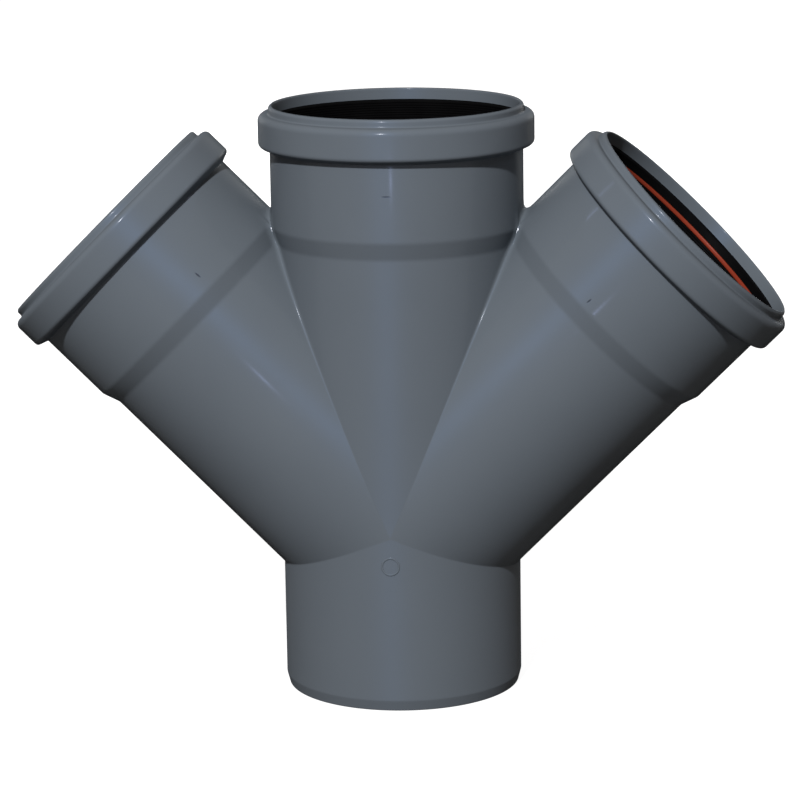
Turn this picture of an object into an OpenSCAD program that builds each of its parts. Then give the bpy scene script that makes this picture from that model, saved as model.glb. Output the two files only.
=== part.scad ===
// Double branch for plain grey drain pipe, in millimetres.
// A straight run carries two side branches at 45 degrees, all three of the same bore.
// The run ends below in a plain spigot. The other three ends are push-fit sockets,
// each with a swollen bead near its mouth that houses a rubber seal.
// The origin is the centre of the spigot's end face. +Z runs up the straight run,
// and the two branches lean to +X and -X.

/* [Run and branches] */
// Outside diameter of the pipe, and of the spigot that takes its place in a socket
pipe_od = 110; // [100:1:125]
// Wall of the spigot
wall = 2.7; // [2:0.1:3.6]
// Spigot's end to the point where the three axes cross
spigot_reach = 81; // [70:1:110]
// Crossing point to the mouth of the straight socket
run_reach = 190; // [180:1:230]
// Crossing point to the mouth of each side socket
branch_reach = 192; // [182:1:230]
// Angle between the run and each branch
branch_angle = 45; // [43:1:60]
// Length of the spigot, up to where it starts to taper out to the run
spigot_len = 56; // [40:1:60]
// How much stouter the run is than the spigot from the crossing point up, on the radius.
// The branches are as stout as the spigot and gain that wall inside, so the creases fade out at the front.
run_swell = 0.3; // [0.2:0.05:0.6]
// Length of the bevel on the spigot's end
bevel_len = 5; // [3:0.5:8]
// How far that bevel draws the end in
bevel_in = 1.3; // [0.6:0.1:1.6]

/* [Sockets] */
// Clearance between a pipe and the bore of its socket
pipe_play = 0.35; // [0.25:0.05:0.5]
// Wall of the socket
socket_wall = 2.35; // [1.8:0.05:3]
// Mouth to the place where the bore draws in and stops the pipe
socket_depth = 54; // [46:1:64]
// Length of the cone between the socket and its branch
shoulder_len = 8; // [5:0.5:12]
// The outside of that cone starts this much further in than the inside
shoulder_lag = 1; // [0.4:0.1:2]
// Radius of the soft bend at each end of the shoulder
shoulder_round = 5; // [2:0.5:8]

/* [Bead and lip] */
// Depth of the seal's groove, outwards from the bore
groove_depth = 4.85; // [4:0.05:6]
// Width of the groove at its bottom
groove_w = 10.1; // [8:0.1:13]
// How far the groove's inner side slopes back towards the bore
groove_slope = 2.8; // [1:0.1:4]
// Wall of the bead outside the groove
bead_wall = 2.7; // [2:0.1:3.5]
// Rounding where the bead turns over to the lip
bead_round = 3; // [1.5:0.1:4]
// Rounding where the bead turns down to the socket
bead_back_round = 1.6; // [0.5:0.1:3]
// Slope of the bead's back, from the axis
bead_back_angle = 70; // [55:1:80]
// Mouth to the near side of the groove
mouth_land = 5.3; // [4:0.1:8]
// How much wider the mouth is than the bore, on the radius
mouth_ease = 0.95; // [0.5:0.05:1.5]
// Wall of the lip round the mouth
lip_wall = 1.75; // [1.2:0.05:2.5]
// How far the lip stands out of the bead
lip_h = 3.7; // [2:0.1:5]
// Rounding in the corner between the lip and the bead
lip_root = 1; // [0.3:0.1:1.5]
// Rounding of the lip's outer edge
lip_round = 1.5; // [0.5:0.1:1.7]
// Rounding of the lip's inner edge
mouth_round = 0.8; // [0.3:0.1:1.2]

/* [Seals] */
// Clearance between a seal and the groove that it sits in
seal_play = 0.1; // [0.05:0.05:0.3]
// How far the lips stand in from the bore, laid back as a pipe holds them
lip_stand = 0.1; // [0:0.02:0.14]
// Bevel on the front lip that guides a pipe in
lip_lead = 0.8; // [0.3:0.1:1.2]
// Groove's near side to the spacer ring
spacer_set = 4.2; // [3:0.1:5]
// Width of the spacer ring
spacer_w = 2.2; // [1.5:0.1:3]
// Height of the spacer ring, on the radius
spacer_h = 2.6; // [1.5:0.1:3]
// Rounding of the spacer ring's inner edges
spacer_round = 0.8; // [0.2:0.1:1]
// How far the spacer ring lies back from the lips
spacer_back = 0.35; // [0.1:0.05:0.8]
// Clearance between the spacer ring and its rubber
spacer_play = 0.05; // [0.02:0.01:0.1]
// Distance between the fine ribs on a seal
rib_pitch = 1.1; // [0.8:0.1:1.6]
// Depth between the ribs
rib_depth = 0.35; // [0.2:0.05:0.5]

/* [Moulded mark] */
// Diameter of the raised ring at the front, under the crossing point
mark_d = 8.6; // [5:0.1:14]
// Width of its line
mark_w = 0.9; // [0.5:0.1:1.5]
// How far it stands proud of the taper that it sits on
mark_h = 0.3; // [0.15:0.05:0.6]
// Crossing point down to the middle of the ring
mark_drop = 12.9; // [8:0.1:16]

/* [Hidden] */
$fn = 120;

// Radii from the middle of a pipe outwards
pipe_r = pipe_od / 2;
bore_r = pipe_r - wall;
run_r = pipe_r + run_swell;
branch_bore_r = bore_r - run_swell;
socket_bore_r = pipe_r + pipe_play;
socket_r = socket_bore_r + socket_wall;
groove_r = socket_bore_r + groove_depth;
bead_r = groove_r + bead_wall;
mouth_r = socket_bore_r + mouth_ease;
lip_r = mouth_r + lip_wall;
lip_root_len = min(lip_root, 0.8 * (bead_r - bead_round - lip_r));
seal_in_r = socket_bore_r - lip_stand;
seal_out_r = groove_r - seal_play;
spacer_in_r = seal_in_r + spacer_back;
spacer_out_r = spacer_in_r + spacer_h;
spacer_edge_r = min(spacer_round, 0.45 * spacer_w);

// Height of the raised ring's middle, and the radius of the taper there
mark_z = spigot_reach - mark_drop;
mark_seat_r = pipe_r + run_swell * max(0, mark_z - spigot_len) / (spigot_reach - spigot_len);

// Depths below a mouth
groove_end = mouth_land + groove_w;
bead_end = groove_end + bead_wall;
bead_foot = bead_end + (bead_r - socket_r) / tan(bead_back_angle);
stop_end = socket_depth + shoulder_len;
spacer_top = mouth_land + spacer_set;
spacer_end = spacer_top + spacer_w;
seal_top = mouth_land + seal_play;
seal_end = groove_end - seal_play;

// Cuts run this far past the ends that they open
past = 1;
arc_steps = 6;
grey = [0.40, 0.43, 0.47];
black = [0.05, 0.05, 0.055];
orange_red = [0.80, 0.24, 0.14];

// Points of an arc about [r, z], from angle a to angle b
function arc(r, z, radius, a, b) =
    [for (i = [0 : arc_steps]) let (t = a + (b - a) * i / arc_steps) [r + radius * cos(t), z + radius * sin(t)]];

// Soft bend that replaces the corner p of the line a to p to b, starting the given length away from p
function bend(a, p, b, len) = let (
    u = (a - p) / norm(a - p) * len,
    v = (b - p) / norm(b - p) * len
) [for (i = [0 : arc_steps]) let (t = i / arc_steps) p + u * (1 - t) * (1 - t) + v * t * t];

// Zigzag of fine ribs on a seal, running down from depth a to depth b
function ribs(a, b) = let (count = floor((b - a) / rib_pitch), step = (b - a) / count)
    [for (i = [0 : count - 1]) each [
        [seal_in_r, -(a + step * i)],
        [seal_in_r, -(a + step * (i + 0.6))],
        [seal_in_r + rib_depth, -(a + step * (i + 0.8))]
    ]];

// Outside of a socket on a pipe of radius r, from the branch up to the lip.
// Sections are [radius, height], with the mouth at height 0.
function socket_outside(r) = let (
    tail = [r, -(stop_end + shoulder_lag + shoulder_len)],
    low = [r, -(stop_end + shoulder_lag)],
    high = [socket_r, -(socket_depth + shoulder_lag)],
    foot = [socket_r, -bead_foot],
    back = [bead_r, -bead_end]
) concat(
    bend(tail, low, high, shoulder_round / 2),
    bend(low, high, foot, shoulder_round / 2),
    [foot],
    bend(foot, back, [bead_r, 0], bead_back_round),
    arc(bead_r - bead_round, -lip_h - bead_round, bead_round, 0, 90),
    bend([bead_r, -lip_h], [lip_r, -lip_h], [lip_r, 0], lip_root_len),
    arc(lip_r - lip_round, -lip_round, lip_round, 0, 90)
);

// Inside of a socket that opens into a bore of radius r, up to the open mouth
function socket_inside(r) = concat(
    [
        [r, -stop_end],
        [socket_bore_r, -socket_depth],
        [socket_bore_r, -(groove_end + groove_slope)],
        [groove_r, -groove_end],
        [groove_r, -mouth_land],
        [mouth_r, -mouth_land]
    ],
    arc(mouth_r + mouth_round, -mouth_round, mouth_round, 180, 90),
    [[mouth_r + mouth_round, past]]
);

// Places its children at the crossing point, turned by the angle from the run
module on_axis(angle) {
    translate([0, 0, spigot_reach])
        rotate([0, angle, 0])
            children();
}

// Solid run from the bevelled end of the spigot up to the mouth of the straight socket
module run_outside() {
    end = -(run_reach + spigot_reach);
    translate([0, 0, -end])
        rotate_extrude()
            polygon(concat(
                [
                    [0, end],
                    [pipe_r - bevel_in, end],
                    [pipe_r, end + bevel_len],
                    [pipe_r, end + spigot_len],
                    [run_r, -run_reach]
                ],
                socket_outside(run_r),
                [[0, 0]]
            ));
}

// Everything that is hollow in the run
module run_inside() {
    end = -(run_reach + spigot_reach);
    translate([0, 0, -end])
        rotate_extrude()
            polygon(concat([[0, end - past], [bore_r, end - past]], socket_inside(bore_r), [[0, past]]));
}

// Solid branch from the crossing point out to the mouth of its socket
module branch_outside() {
    translate([0, 0, branch_reach])
        rotate_extrude()
            polygon(concat([[0, -branch_reach], [pipe_r, -branch_reach]], socket_outside(pipe_r), [[0, 0]]));
}

// Everything that is hollow in a branch
module branch_inside() {
    translate([0, 0, branch_reach])
        rotate_extrude()
            polygon(concat(
                [[0, -branch_reach], [branch_bore_r, -branch_reach]],
                socket_inside(branch_bore_r),
                [[0, past]]
            ));
}

// Raised ring that the mould leaves on the front of the run
module moulded_ring() {
    intersection() {
        cylinder(r = mark_seat_r + mark_h, h = spigot_reach);
        translate([0, -(bore_r + wall / 2), mark_z])
            rotate([90, 0, 0])
                difference() {
                    cylinder(d = mark_d, h = wall);
                    translate([0, 0, -past])
                        cylinder(d = mark_d - 2 * mark_w, h = wall + 2 * past);
                }
    }
}

// The moulded piece: run, branches, spigot and sockets in one
module fitting_body() {
    color(grey)
        difference() {
            union() {
                run_outside();
                on_axis(-branch_angle) branch_outside();
                on_axis(branch_angle) branch_outside();
                moulded_ring();
            }
            run_inside();
            on_axis(-branch_angle) branch_inside();
            on_axis(branch_angle) branch_inside();
        }
}

// Section of the rubber, from the groove's back round to its lips.
// With a spacer, the ribs part for the channel that holds it.
function seal_section(spacer) = concat(
    [
        [socket_bore_r + seal_play, -(seal_end + groove_slope * (1 - seal_play / groove_depth))],
        [seal_out_r, -seal_end],
        [seal_out_r, -seal_top],
        [seal_in_r + lip_lead, -seal_top]
    ],
    spacer
        ? concat(
            [[seal_in_r, -(seal_top + lip_lead)], [seal_in_r, -(spacer_top - spacer_play)]],
            [
                [spacer_out_r + spacer_play, -(spacer_top - spacer_play)],
                [spacer_out_r + spacer_play, -(spacer_end + spacer_play)]
            ],
            ribs(spacer_end + spacer_play, seal_end)
        )
        : ribs(seal_top + lip_lead, seal_end),
    [[seal_in_r, -seal_end]]
);

// Rubber ring in the groove of a socket, seen in the socket's own frame
module seal(spacer) {
    color(black)
        rotate_extrude()
            polygon(seal_section(spacer));
}

// Hard plastic ring that spreads the rubber and keeps it in its groove
module spacer_ring() {
    color(orange_red)
        translate([0, 0, -spacer_end])
            rotate_extrude()
                polygon(concat(
                    [[spacer_out_r, 0], [spacer_out_r, spacer_w]],
                    arc(spacer_in_r + spacer_edge_r, spacer_w - spacer_edge_r, spacer_edge_r, 90, 180),
                    arc(spacer_in_r + spacer_edge_r, spacer_edge_r, spacer_edge_r, 180, 270)
                ));
}

module top_seal() {
    on_axis(0) translate([0, 0, run_reach]) seal(false);
}

module left_seal() {
    on_axis(-branch_angle) translate([0, 0, branch_reach]) seal(true);
}

module right_seal() {
    on_axis(branch_angle) translate([0, 0, branch_reach]) seal(true);
}

module left_spacer_ring() {
    on_axis(-branch_angle) translate([0, 0, branch_reach]) spacer_ring();
}

module right_spacer_ring() {
    on_axis(branch_angle) translate([0, 0, branch_reach]) spacer_ring();
}

fitting_body();
top_seal();
left_seal();
right_seal();
left_spacer_ring();
right_spacer_ring();
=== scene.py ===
from math import cos, radians, sin, tan

import bmesh
import bpy
import numpy as np
from mathutils import Matrix, Vector


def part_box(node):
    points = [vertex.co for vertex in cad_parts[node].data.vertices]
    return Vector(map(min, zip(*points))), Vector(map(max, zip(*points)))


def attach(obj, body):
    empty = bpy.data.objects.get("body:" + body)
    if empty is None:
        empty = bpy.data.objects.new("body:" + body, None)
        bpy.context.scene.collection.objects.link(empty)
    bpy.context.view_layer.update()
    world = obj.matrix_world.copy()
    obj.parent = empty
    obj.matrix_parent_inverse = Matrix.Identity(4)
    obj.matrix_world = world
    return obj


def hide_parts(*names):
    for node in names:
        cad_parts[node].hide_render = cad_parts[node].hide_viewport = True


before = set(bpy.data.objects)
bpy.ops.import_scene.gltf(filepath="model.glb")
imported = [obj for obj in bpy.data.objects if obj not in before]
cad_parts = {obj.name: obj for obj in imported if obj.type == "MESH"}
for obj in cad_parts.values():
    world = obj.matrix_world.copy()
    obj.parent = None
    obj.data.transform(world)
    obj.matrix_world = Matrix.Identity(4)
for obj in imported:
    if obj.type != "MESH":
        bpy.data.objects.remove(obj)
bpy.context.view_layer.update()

# Fitting body
# One moulding in slate grey polypropylene, a straight run crossed by two branches. It is injected round
# steel cores that are drawn out of its four ends, in a mould that parts on the plane of the axes.
mm = 0.001
_, body_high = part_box("fitting_body")
pipe_r = 55 * mm
run_swell = 0.3 * mm
wall = 2.7 * mm
spigot_reach = 81 * mm
run_reach = body_high.z - spigot_reach
branch_reach = 192 * mm
branch_angle = 45
bevel_len = 5 * mm
bevel_in = 1.3 * mm
end_round = 0.4 * mm

# The sockets' sizes, alike on the run and the branches, with each depth taken from the mouth
pipe_play = 0.35 * mm
socket_wall = 2.35 * mm
socket_depth = 54 * mm
shoulder_len = 8 * mm
shoulder_lag = 1 * mm
shoulder_round = 2 * mm
groove_depth = 4.85 * mm
groove_w = 10.1 * mm
groove_slope = 2.8 * mm
bead_round = 3 * mm
bead_back_round = 1.6 * mm
bead_back_angle = radians(70)
mouth_land = 5.3 * mm
mouth_ease = 0.95 * mm
lip_wall = 1.75 * mm
lip_h = 3.7 * mm
lip_root = 1 * mm
lip_round = 1.5 * mm
mouth_round = 0.8 * mm
neck_round = 0.35 * mm

crossing = Vector((0, 0, spigot_reach))
bore_r = pipe_r - wall
branch_bore_r = bore_r - run_swell
socket_bore_r = pipe_r + pipe_play
socket_r = socket_bore_r + socket_wall
groove_r = socket_bore_r + groove_depth
bead_r = body_high.y
mouth_r = socket_bore_r + mouth_ease
lip_r = mouth_r + lip_wall
groove_end = mouth_land + groove_w
bead_end = groove_end + bead_r - groove_r
bead_foot = bead_end + (bead_r - socket_r) / tan(bead_back_angle)
stop_end = socket_depth + shoulder_len


def arc(r, depth, radius, start, stop, steps=8):
    """Points [radius, depth below the mouth] of an arc, its angles in degrees from straight out."""
    angles = [radians(start + (stop - start) * i / steps) for i in range(steps + 1)]
    return [(r + radius * cos(a), depth - radius * sin(a)) for a in angles]


def bend(a, corner, b, length, steps=8):
    """Soft bend in place of a corner, which starts the given length away from it on both sides."""
    a, corner, b = Vector(a), Vector(corner), Vector(b)
    u = (a - corner).normalized() * length
    v = (b - corner).normalized() * length
    shares = [i / steps for i in range(steps + 1)]
    return [tuple(corner + u * (1 - t) ** 2 + v * t ** 2) for t in shares]


def outline(points, reach, longest=7 * mm, edge=0.5 * mm):
    """Turns [radius, depth] into [distance from the crossing, radius], with points along straight parts."""
    out = [points[0]]
    for a, b in zip(points, points[1:]):
        a, b = Vector(a), Vector(b)
        length = (b - a).length
        if length > 4 * edge:
            count = max(1, round((length - 2 * edge) / longest))
            spaced = [edge + (length - 2 * edge) * i / count for i in range(count + 1)]
            out += [tuple(a.lerp(b, x / length)) for x in spaced]
        out.append(tuple(b))
    return np.array([(reach - depth, r) for r, depth in out])


def socket_outside(r, reach):
    """Outside of an arm that ends in a socket, from the crossing up to the top of its lip."""
    tail = (r, stop_end + shoulder_lag + shoulder_len)
    low = (r, stop_end + shoulder_lag)
    high = (socket_r, socket_depth + shoulder_lag)
    foot = (socket_r, bead_foot)
    back = (bead_r, bead_end)
    return outline(
        [(pipe_r, reach)]
        + bend(tail, low, high, shoulder_round / 2)
        + bend(low, high, foot, shoulder_round / 2)
        + bend(high, foot, back, neck_round, steps=3)
        + bend(foot, back, (bead_r, 0), bead_back_round)
        + arc(bead_r - bead_round, lip_h + bead_round, bead_round, start=0, stop=90, steps=10)
        + bend((bead_r, lip_h), (lip_r, lip_h), (lip_r, 0), lip_root, steps=6)
        + arc(lip_r - lip_round, lip_round, lip_round, start=0, stop=90),
        reach,
    )


def socket_inside(r, reach):
    """Inside of an arm that ends in a socket, from the top of its lip down to the crossing."""
    return outline(
        arc(mouth_r + mouth_round, mouth_round, mouth_round, start=90, stop=180)
        + [
            (mouth_r, mouth_land),
            (groove_r, mouth_land),
            (groove_r, groove_end),
            (socket_bore_r, groove_end + groove_slope),
            (socket_bore_r, socket_depth),
            (r, stop_end),
            (r, reach),
        ],
        reach,
    )


spigot_end = (pipe_r - bevel_in, 0)
spigot_outside = outline(
    [(pipe_r, spigot_reach)]
    + bend((pipe_r, spigot_reach), (pipe_r, bevel_len), spigot_end, end_round, steps=4)
    + bend((pipe_r, bevel_len), spigot_end, (bore_r, 0), end_round, steps=4),
    spigot_reach,
)
spigot_inside = outline(
    bend(spigot_end, (bore_r, 0), (bore_r, spigot_reach), end_round, steps=4) + [(bore_r, spigot_reach)],
    spigot_reach,
)

# The arms in order round the crossing: the angle from straight up towards +X, the outside and the inside
run_skin = socket_outside(pipe_r + run_swell, run_reach), socket_inside(bore_r, run_reach)
branch_skin = socket_outside(pipe_r, branch_reach), socket_inside(branch_bore_r, branch_reach)
arms = [
    (0, *run_skin),
    (branch_angle, *branch_skin),
    (180, spigot_outside, spigot_inside),
    (360 - branch_angle, *branch_skin),
]
OUTSIDE, INSIDE = 1, 2

# The creases between the arms are rounded, ever less towards the crossing. Rows of points stand close
# together beside them, and columns of points run all round each arm.
crease_radius = {OUTSIDE: 2.5 * mm, INSIDE: 0.5 * mm}
full_radius_at = 145 * mm
least_share = 0.25
crease_rows = np.array([0, 0.35, 0.8, 1.4, 2.1, 3.0, 4.2, 6.0]) * mm
plain_end = run_reach - bead_foot - 2 * mm
columns = 192
turn = np.arange(columns) * 2 * np.pi / columns


def leads(angle):
    """Unit vectors along an arm and square to it, towards the next arm."""
    a = radians(angle)
    return np.array([sin(a), 0, cos(a)]), np.array([cos(a), 0, -sin(a)])


def radius_at(skin, s):
    """Radius of an arm's outside or inside at the distance s from the crossing, below the bead."""
    plain = skin[skin[:, 0] < plain_end]
    plain = plain[plain[:, 0].argsort(kind="stable")]
    return np.interp(s, plain[:, 0], plain[:, 1])


def crease(one, other, side, rounds=80):
    """Where each column of an arm meets its neighbour: the distance from the crossing, and the radius."""
    between = (other[0] - one[0]) % 360
    half_angle = radians(min(between, 360 - between)) / 2
    s = np.zeros(columns)
    for _ in range(rounds):
        r = (radius_at(one[side], s) + radius_at(other[side], s)) / 2
        s = r * np.abs(np.sin(turn)) / tan(half_angle)
    return s, r


def off_skin(points, side, least_width=1e-9):
    """How far points lie off the skin of all arms together, with the creases between them rounded."""
    gaps, normals = [], []
    rel = points - np.array(crossing)
    share = (np.linalg.norm(rel, axis=-1) / full_radius_at) ** 2
    radius = crease_radius[side] * np.clip(share, least_share, 1)
    for arm in arms:
        lead, _ = leads(arm[0])
        s = np.maximum(rel @ lead, 0)
        off = rel - s[..., None] * lead
        reach = np.linalg.norm(off, axis=-1)
        gaps.append(reach - radius_at(arm[side], s))
        normals.append(off / reach[..., None])
    best = np.full(points.shape[:-1], np.inf)
    for i in range(len(arms)):
        for j in range(i):
            width = radius * (1 - (normals[i] * normals[j]).sum(-1)) + least_width
            overlap = np.maximum(width - np.abs(gaps[i] - gaps[j]), 0)
            best = np.minimum(best, np.minimum(gaps[i], gaps[j]) - overlap ** 2 / (4 * width))
    return best


def settled(points, side, step=0.02 * mm, rounds=4):
    """Moves points square to the skin until they lie on it."""
    for _ in range(rounds):
        slope = np.stack([
            (off_skin(points + step * axis, side) - off_skin(points - step * axis, side)) / (2 * step)
            for axis in np.eye(3)
        ], -1)
        points = points - slope * (off_skin(points, side) / (slope ** 2).sum(-1))[..., None]
    return points


def inner_rows(arm):
    """How many rows of an arm's sleeve lie on its inside."""
    return len(arm[INSIDE]) + len(crease_rows)


def sleeve(arm, before, after):
    """An arm as rows of points, from its outer crease over its end and back to its inner crease."""
    lead, across = leads(arm[0])
    rows = []
    for side in (OUTSIDE, INSIDE):
        s_before, r_before = crease(arm, before, side)
        s_after, r_after = crease(arm, after, side)
        start = np.where(np.sin(turn) < 0, s_before, s_after)
        start_r = np.where(np.sin(turn) < 0, r_before, r_after)
        near = [(start, start_r)] + [(start + d, radius_at(arm[side], start + d)) for d in crease_rows[1:]]
        last = near[-1]
        far = [
            (np.where(s > last[0], s, last[0]), np.where(s > last[0], r, last[1]))
            for s, r in (arm[side] if side == OUTSIDE else arm[side][::-1])
        ]
        for s, r in (near + far if side == OUTSIDE else (near + far)[::-1]):
            ring = np.array(crossing) + s[:, None] * lead + (r * np.sin(turn))[:, None] * across
            ring[:, 1] -= r * np.cos(turn)
            if s.min() < plain_end - crease_rows[-1] and s.max() < plain_end:
                ring = settled(ring, side)
            rows.append(ring)
    return np.array(rows)


verts, faces, outer, along = [], [], [], []
for i, arm in enumerate(arms):
    grid = sleeve(arm, arms[i - 1], arms[(i + 1) % len(arms)])
    first = len(verts)
    verts += [tuple(p) for p in grid.reshape(-1, 3)]
    outer += [float(row < len(grid) - inner_rows(arm)) for row in range(len(grid)) for _ in range(columns)]
    along += [tuple(leads(arm[0])[0])] * (len(grid) * columns)
    for row in range(len(grid) - 1):
        for k in range(columns):
            a = first + row * columns + k
            b = first + row * columns + (k + 1) % columns
            faces.append((a, b, b + columns, a + columns))

# The small ring on the front, rounded on top, with its foot sunk in the wall
mark_z = 68.1 * mm
mark_r = 4.3 * mm
mark_w = 0.9 * mm
mark_h = 0.3 * mm
mark_foot = 0.4 * mm
mark_ease = 0.4 * mm
mark_steps = 72
mark_in_r = mark_r - mark_w
section = [(mark_in_r, -mark_foot)]
section += bend((mark_in_r, -mark_foot), (mark_in_r, mark_h), (mark_r, mark_h), mark_ease, steps=5)
section += bend((mark_in_r, mark_h), (mark_r, mark_h), (mark_r, -mark_foot), mark_ease, steps=5)
section += [(mark_r, -mark_foot)]
first = len(verts)
for k in range(mark_steps):
    a = 2 * np.pi * k / mark_steps
    for r, h in section:
        skin_y = np.sqrt(pipe_r ** 2 - (r * cos(a)) ** 2)
        verts.append((r * cos(a), -skin_y - h, mark_z + r * sin(a)))
        outer.append(1.0)
        along.append((0, 0, 1))
    for j in range(len(section)):
        here = first + k * len(section)
        there = first + (k + 1) % mark_steps * len(section)
        over = (j + 1) % len(section)
        faces.append((here + j, here + over, there + over, there + j))

weld = 0.002 * mm
sharp_angle = radians(35)
mesh = bpy.data.meshes.new("moulded_body")
mesh.from_pydata(verts, [], faces)
mesh.attributes.new("outer", "FLOAT", "POINT").data.foreach_set("value", outer)
mesh.attributes.new("along", "FLOAT_VECTOR", "POINT").data.foreach_set("vector", np.ravel(along))
work = bmesh.new()
work.from_mesh(mesh)
bmesh.ops.remove_doubles(work, verts=work.verts, dist=weld)
work.to_mesh(mesh)
work.free()
mesh.shade_smooth()
mesh.set_sharp_from_angle(angle=sharp_angle)
moulded_body = bpy.data.objects.new("moulded_body", mesh)
bpy.context.scene.collection.objects.link(moulded_body)


def square_on(material, power, level):
    """A level that falls off to nothing where a surface is seen along its slope."""
    nodes, links = material.node_tree.nodes, material.node_tree.links
    slant = nodes.new("ShaderNodeLayerWeight")
    slant.inputs["Blend"].default_value = 0.5
    facing = nodes.new("ShaderNodeMath")
    facing.operation = "SUBTRACT"
    facing.inputs[0].default_value = 1.0
    fall = nodes.new("ShaderNodeMath")
    fall.operation = "POWER"
    fall.inputs[1].default_value = power
    share = nodes.new("ShaderNodeMath")
    share.operation = "MULTIPLY"
    share.inputs[1].default_value = level
    links.new(slant.outputs["Facing"], facing.inputs[1])
    links.new(facing.outputs[0], fall.inputs[0])
    links.new(fall.outputs[0], share.inputs[0])
    return share.outputs[0]


def shiny(material, level):
    """Gloss without the white rim that a white room gives the edges of a round."""
    gloss = material.node_tree.nodes["Principled BSDF"].inputs["Specular IOR Level"]
    gloss.default_value = level
    material.node_tree.links.new(square_on(material, power=4, level=level), gloss)


def mottle(material, scale, detail, low=0, high=1):
    """A noise through the material, between two values."""
    nodes, links = material.node_tree.nodes, material.node_tree.links
    place = nodes.new("ShaderNodeTexCoord")
    noise = nodes.new("ShaderNodeTexNoise")
    noise.inputs["Scale"].default_value = scale
    noise.inputs["Detail"].default_value = detail
    spread = nodes.new("ShaderNodeMapRange")
    spread.inputs["From Min"].default_value = 0.3
    spread.inputs["From Max"].default_value = 0.7
    spread.inputs["To Min"].default_value = low
    spread.inputs["To Max"].default_value = high
    links.new(place.outputs["Object"], noise.inputs["Vector"])
    links.new(noise.outputs[0], spread.inputs["Value"])
    return spread.outputs[0]


def relief(material, height, depth):
    """Adds a height between 0 and 1 to the material's relief, at the depth that 1 stands for."""
    nodes, links = material.node_tree.nodes, material.node_tree.links
    bump = nodes.new("ShaderNodeBump")
    bump.inputs["Distance"].default_value = depth
    links.new(height, bump.inputs["Height"])
    normal = nodes["Principled BSDF"].inputs["Normal"]
    if normal.links:
        links.new(normal.links[0].from_socket, bump.inputs["Normal"])
    links.new(bump.outputs[0], normal)


def tinted(material, share, plain, other):
    """The material's colour, which goes from the plain one to the other with the share."""
    nodes, links = material.node_tree.nodes, material.node_tree.links
    mix = nodes.new("ShaderNodeMix")
    mix.data_type = "RGBA"
    links.new(share, mix.inputs["Factor"])
    colour = nodes["Principled BSDF"].inputs["Base Color"]
    if colour.links:
        links.new(colour.links[0].from_socket, mix.inputs["A"])
    else:
        mix.inputs["A"].default_value = (*plain, 1)
    mix.inputs["B"].default_value = (*other, 1)
    links.new(mix.outputs["Result"], colour)


def spot_share(material, place, size, spin):
    """Share of a small place: 1 in its middle and 0 outside an oval of the given half sizes."""
    nodes, links = material.node_tree.nodes, material.node_tree.links
    where = nodes.new("ShaderNodeTexCoord")
    oval = nodes.new("ShaderNodeMapping")
    oval.vector_type = "TEXTURE"
    oval.inputs["Location"].default_value = place
    oval.inputs["Rotation"].default_value = (0, radians(spin), 0)
    oval.inputs["Scale"].default_value = size
    away = nodes.new("ShaderNodeVectorMath")
    away.operation = "LENGTH"
    share = nodes.new("ShaderNodeMapRange")
    share.interpolation_type = "SMOOTHSTEP"
    share.inputs["From Min"].default_value = 1.0
    share.inputs["From Max"].default_value = 0.4
    links.new(where.outputs["Object"], oval.inputs["Vector"])
    links.new(oval.outputs[0], away.inputs[0])
    links.new(away.outputs["Value"], share.inputs["Value"])
    return share.outputs[0]


# The plastic: a soft gloss, drawn out along each arm the way the mould's steel is polished, under a thin
# sharper one. Its colour and gloss are a little uneven, and its skin has slight waves and a fine grain.
slate = (0.127, 0.149, 0.164)
slate_pale = (0.136, 0.159, 0.174)
skin_gloss = 0.12
grey_plastic = bpy.data.materials.new("slate_grey_polypropylene")
grey_plastic.use_nodes = True
shader = grey_plastic.node_tree.nodes["Principled BSDF"]
shader.inputs["IOR"].default_value = 1.49
shader.inputs["Specular Tint"].default_value = (0.25, 0.5, 1.0, 1)
shader.inputs["Anisotropic"].default_value = 0.8
pull = grey_plastic.node_tree.nodes.new("ShaderNodeAttribute")
pull.attribute_name = "along"
grey_plastic.node_tree.links.new(pull.outputs["Vector"], shader.inputs["Tangent"])
shader.inputs["Coat Weight"].default_value = skin_gloss
skin_share = square_on(grey_plastic, power=2, level=skin_gloss)
grey_plastic.node_tree.links.new(skin_share, shader.inputs["Coat Weight"])
shader.inputs["Coat Roughness"].default_value = 0.12
shader.inputs["Coat IOR"].default_value = 1.49
shiny(grey_plastic, level=0.22)
tinted(grey_plastic, mottle(grey_plastic, scale=14, detail=4), slate, slate_pale)
haze = mottle(grey_plastic, scale=35, detail=3, low=0.46, high=0.54)
grey_plastic.node_tree.links.new(haze, shader.inputs["Roughness"])
relief(grey_plastic, mottle(grey_plastic, scale=45, detail=1), depth=0.03 * mm)
relief(grey_plastic, mottle(grey_plastic, scale=900, detail=2), depth=0.002 * mm)

# The parting line, a trace of flash on the outside all round the middle plane
flash_edge = 0.2 * mm
flash_core = 0.05 * mm
flash_height = 0.06 * mm
nodes, links = grey_plastic.node_tree.nodes, grey_plastic.node_tree.links
place = nodes.new("ShaderNodeTexCoord")
split = nodes.new("ShaderNodeSeparateXYZ")
off_plane = nodes.new("ShaderNodeMath")
off_plane.operation = "ABSOLUTE"
line = nodes.new("ShaderNodeMapRange")
line.inputs["From Min"].default_value = flash_edge
line.inputs["From Max"].default_value = flash_core
skin = nodes.new("ShaderNodeAttribute")
skin.attribute_name = "outer"
flash = nodes.new("ShaderNodeMath")
flash.operation = "MULTIPLY"
links.new(place.outputs["Object"], split.inputs[0])
links.new(split.outputs["Y"], off_plane.inputs[0])
links.new(off_plane.outputs[0], line.inputs["Value"])
links.new(line.outputs[0], flash.inputs[0])
links.new(skin.outputs["Fac"], flash.inputs[1])
relief(grey_plastic, flash.outputs[0], depth=flash_height)
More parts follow.
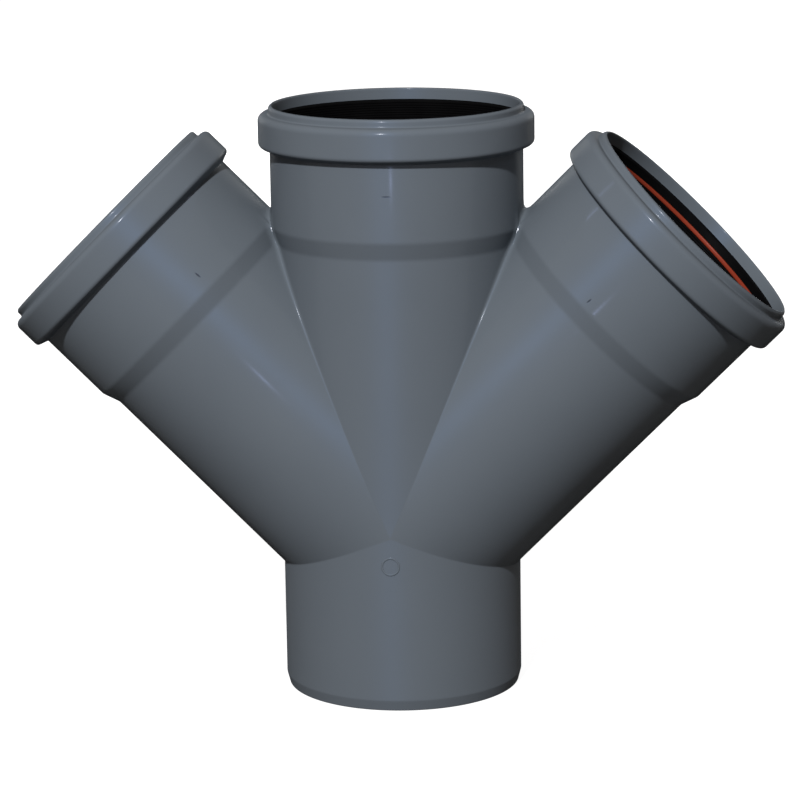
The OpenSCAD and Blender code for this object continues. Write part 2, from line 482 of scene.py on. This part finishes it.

# Small marks painted darker and sunk a little: one across the run below its bead, and one on each side
# socket, each with its place, its half sizes and its turn in degrees
slate_darker = (0.045, 0.05, 0.058)
nick_depth = 0.08 * mm
nicks = [
    ((0.9 * mm, -57.6 * mm, 236.9 * mm), (2.6 * mm, 1 * mm, 0.4 * mm), 0),
    ((-84.5 * mm, -51.9 * mm, 200.9 * mm), (2.2 * mm, 1 * mm, 0.5 * mm), 40),
    ((89.8 * mm, -55.9 * mm, 190.5 * mm), (1.8 * mm, 1 * mm, 0.45 * mm), -40),
]
for nick in nicks:
    # Each mark's colour is painted darker, and its skin sunk
    darker_share = spot_share(grey_plastic, *nick)
    tinted(grey_plastic, darker_share, slate, slate_darker)
    relief(grey_plastic, darker_share, depth=-nick_depth)

mesh.materials.append(grey_plastic)
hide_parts("fitting_body")
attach(moulded_body, "root")

# Seals
# Black rubber rings, one in the groove of each socket. They are pushed in by hand, and their lips and fine
# ribs close on the pipe.
black = (0.0026, 0.0026, 0.0028)
black_worn = (0.0042, 0.0041, 0.0042)
rubber = bpy.data.materials.new("black_seal_rubber")
rubber.use_nodes = True
shader = rubber.node_tree.nodes["Principled BSDF"]
shiny(rubber, level=0.04)
tinted(rubber, mottle(rubber, scale=60, detail=4), black, black_worn)
haze = mottle(rubber, scale=150, detail=3, low=0.34, high=0.48)
rubber.node_tree.links.new(haze, shader.inputs["Roughness"])
relief(rubber, mottle(rubber, scale=700, detail=3), depth=0.01 * mm)
for name in ("top_seal", "left_seal", "right_seal"):
    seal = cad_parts[name]
    seal.data.materials.clear()
    seal.data.materials.append(rubber)

# Spacer rings
# Orange-red rings of hard plastic, one in a channel of each side seal. They are snapped in after the
# rubber, spread it and keep it in its groove.
red = (0.25, 0.036, 0.016)
red_pale = (0.3, 0.044, 0.02)
orange_red = bpy.data.materials.new("orange_red_plastic")
orange_red.use_nodes = True
shader = orange_red.node_tree.nodes["Principled BSDF"]
shiny(orange_red, level=0.2)
tinted(orange_red, mottle(orange_red, scale=40, detail=3), red, red_pale)
haze = mottle(orange_red, scale=90, detail=3, low=0.3, high=0.4)
orange_red.node_tree.links.new(haze, shader.inputs["Roughness"])
relief(orange_red, mottle(orange_red, scale=800, detail=2), depth=0.004 * mm)
for name in ("left_spacer_ring", "right_spacer_ring"):
    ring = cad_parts[name]
    ring.data.materials.clear()
    ring.data.materials.append(orange_red)

# Camera
# It stands where the photograph was taken from, a little above the fitting and to its right, with a long
# lens.
camera_place = Vector((152.8, -1501.44, 464.36)) * mm
camera_aim = Vector((-0.134, 0, 133.05)) * mm
camera_roll = radians(-0.874)
lens = bpy.data.cameras.new("camera")
lens.lens = 150.4
lens.sensor_width = 36
camera = bpy.data.objects.new("camera", lens)
bpy.context.scene.collection.objects.link(camera)
look = (camera_aim - camera_place).to_track_quat("-Z", "Y").to_matrix()
turned = look @ Matrix.Rotation(camera_roll, 3, "Z")
camera.matrix_world = Matrix.Translation(camera_place) @ turned.to_4x4()
bpy.context.scene.camera = camera

# Studio
# A white floor and backdrop, one lamp above the camera, two behind the fitting, small blue ones for the
# glints, and a dim room.
floor_half = 30.0
near_white = 0.93
near_reach = 0.3
far_reach = 1.4
bore_shade_glow = 0.1


def seen_straight(material):
    """1 where the camera, a reflection or a clear piece sees a surface, and 0 where it only gives light."""
    nodes, links = material.node_tree.nodes, material.node_tree.links
    path = nodes.new("ShaderNodeLightPath")
    total = path.outputs["Is Camera Ray"]
    for ray in ("Is Glossy Ray", "Is Transmission Ray"):
        either = nodes.new("ShaderNodeMath")
        either.operation = "MAXIMUM"
        links.new(total, either.inputs[0])
        links.new(path.outputs[ray], either.inputs[1])
        total = either.outputs[0]
    return total


# The floor is white where it is seen and whitest far off, with painted shade dimming it inside the spigot,
# and dull where it gives light
corners = [(x * floor_half, y * floor_half, 0) for x, y in ((-1, -1), (1, -1), (1, 1), (-1, 1))]
floor_mesh = bpy.data.meshes.new("floor")
floor_mesh.from_pydata(corners, [], [(0, 1, 2, 3)])
floor = bpy.data.objects.new("floor", floor_mesh)
bpy.context.scene.collection.objects.link(floor)
white = bpy.data.materials.new("white_floor")
white.use_nodes = True
nodes, links = white.node_tree.nodes, white.node_tree.links
nodes.remove(nodes["Principled BSDF"])
place = nodes.new("ShaderNodeTexCoord")
distance = nodes.new("ShaderNodeVectorMath")
distance.operation = "LENGTH"
links.new(place.outputs["Object"], distance.inputs[0])
whiter = nodes.new("ShaderNodeMapRange")
whiter.interpolation_type = "SMOOTHSTEP"
whiter.inputs["From Min"].default_value = near_reach
whiter.inputs["From Max"].default_value = far_reach
whiter.inputs["To Min"].default_value = near_white
whiter.inputs["To Max"].default_value = 1.0
links.new(distance.outputs["Value"], whiter.inputs["Value"])
# Painted shade: the floor's glow falls to a tenth where the spigot's bore stands over it
under = nodes.new("ShaderNodeMapRange")
under.inputs["From Min"].default_value = bore_r
under.inputs["From Max"].default_value = pipe_r - bevel_in
under.inputs["To Min"].default_value = bore_shade_glow
links.new(distance.outputs["Value"], under.inputs["Value"])
shine = nodes.new("ShaderNodeMath")
shine.operation = "MULTIPLY"
links.new(whiter.outputs[0], shine.inputs[0])
links.new(under.outputs[0], shine.inputs[1])
paint = nodes.new("ShaderNodeBsdfDiffuse")
paint.inputs["Color"].default_value = (0.25, 0.25, 0.25, 1)
glow = nodes.new("ShaderNodeEmission")
links.new(shine.outputs[0], glow.inputs["Strength"])
bright = nodes.new("ShaderNodeAddShader")
links.new(paint.outputs[0], bright.inputs[0])
links.new(glow.outputs[0], bright.inputs[1])
dull = nodes.new("ShaderNodeBsdfDiffuse")
dull.inputs["Color"].default_value = (0.08, 0.075, 0.07, 1)
pick = nodes.new("ShaderNodeMixShader")
links.new(seen_straight(white), pick.inputs[0])
links.new(dull.outputs[0], pick.inputs[1])
links.new(bright.outputs[0], pick.inputs[2])
links.new(pick.outputs[0], nodes["Material Output"].inputs["Surface"])
floor_mesh.materials.append(white)

# The room is white where it is seen, and dim and a little warm where it gives light
world = bpy.data.worlds.new("room")
bpy.context.scene.world = world
world.use_nodes = True
nodes, links = world.node_tree.nodes, world.node_tree.links
backdrop = nodes["Background"]
backdrop.inputs["Color"].default_value = (1, 1, 1, 1)
room = nodes.new("ShaderNodeBackground")
room.inputs["Color"].default_value = (0.181, 0.149, 0.132, 1)
pick = nodes.new("ShaderNodeMixShader")
links.new(seen_straight(world), pick.inputs[0])
links.new(room.outputs[0], pick.inputs[1])
links.new(backdrop.outputs[0], pick.inputs[2])
links.new(pick.outputs[0], nodes["World Output"].inputs["Surface"])

fitting_middle = Vector((0, 0, 0.13))
plain_white = (1, 1, 1)
violet_blue = (0.5, 0.6, 1.0)


def lamp(name, place, size, power, tint):
    """A round lamp aimed at the middle of the fitting. The camera doesn't see it."""
    light = bpy.data.lights.new(name, "AREA")
    light.shape = "DISK"
    light.size = size
    light.energy = power
    light.color = tint
    holder = bpy.data.objects.new(name, light)
    holder.location = place
    holder.rotation_euler = (fitting_middle - Vector(place)).to_track_quat("-Z", "Y").to_euler()
    holder.visible_camera = False
    bpy.context.scene.collection.objects.link(holder)


lamp("key_lamp", (-0.528, -3.531, 2.87), size=0.225, power=180, tint=(1.0, 1.0, 1.06))
lamp("back_left_lamp", (-0.9, 1.93, 0.3), size=0.8, power=24, tint=plain_white)
lamp("back_right_lamp", (0.55, 2.03, 0.3), size=0.8, power=22, tint=plain_white)
lamp("left_glint", (-1.096, -0.271, 1.115), size=0.02, power=0.35, tint=violet_blue)
lamp("right_glint", (1.034, -0.145, 1.22), size=0.02, power=0.35, tint=violet_blue)
lamp("front_glint", (0.0045, -0.404, 0.191), size=0.008, power=0.03, tint=violet_blue)

bpy.context.scene.view_settings.view_transform = "Standard"
